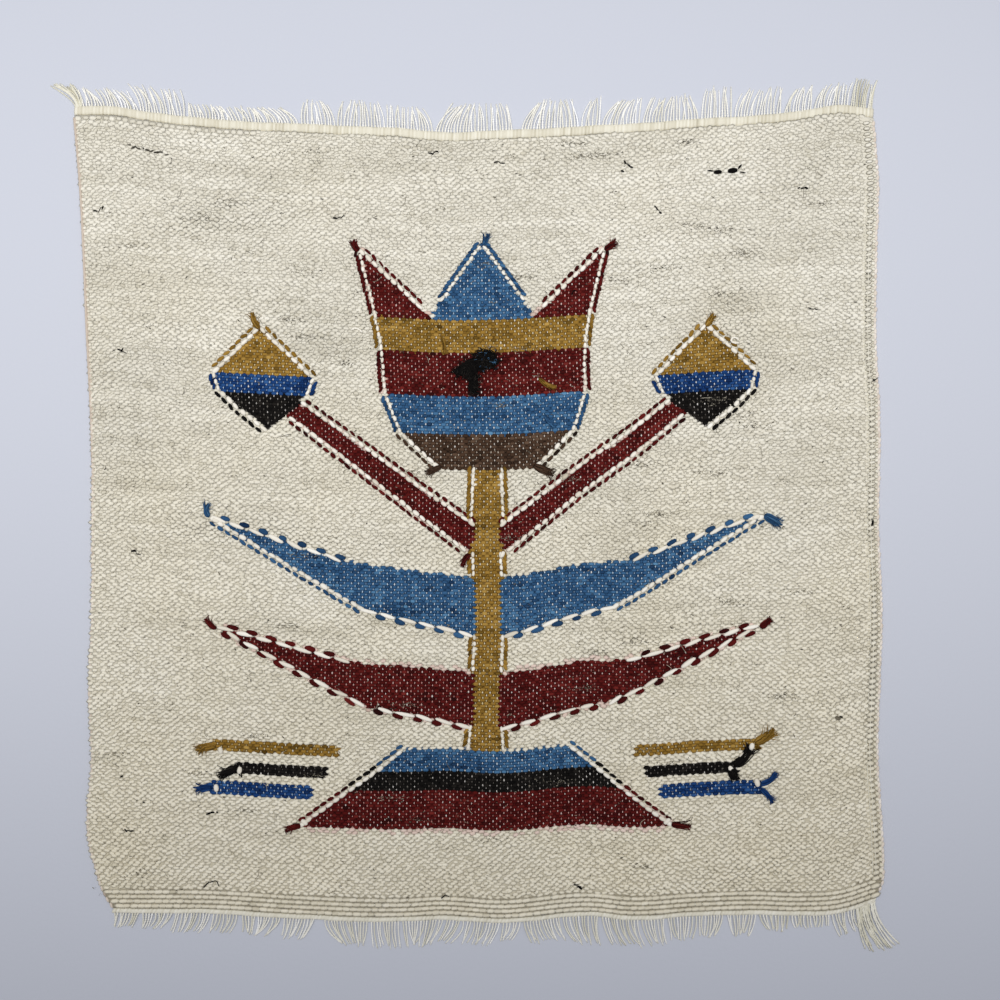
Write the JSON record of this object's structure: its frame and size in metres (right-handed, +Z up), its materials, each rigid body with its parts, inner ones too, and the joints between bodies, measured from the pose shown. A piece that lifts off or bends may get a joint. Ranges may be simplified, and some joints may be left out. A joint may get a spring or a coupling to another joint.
{
  "type": "woven wall hanging lying spread out",
  "caption": "Small hand-woven wool wall hanging lying flat, with a cream cotton heading band, a thin lower heading and short warp fringes at both ends.",
  "frame": {"origin": "under the middle of the whole piece, on the surface that it lies on", "axes": "+X across the cloth along the weft, +Y along the warp towards the wide heading band, +Z up out of the face"},
  "size_m": [0.4938, 0.5068, 0.0039],
  "materials": {
    "wool_weave": "hand-spun undyed wool weft with dyed wool areas, matt",
    "cotton_heading": "unbleached cotton yarn, matt"
  },
  "bodies": {
    "root": {"cloth": "wool_weave", "top_heading": "cotton_heading", "bottom_heading": "cotton_heading"}
  },
  "joints": []
}
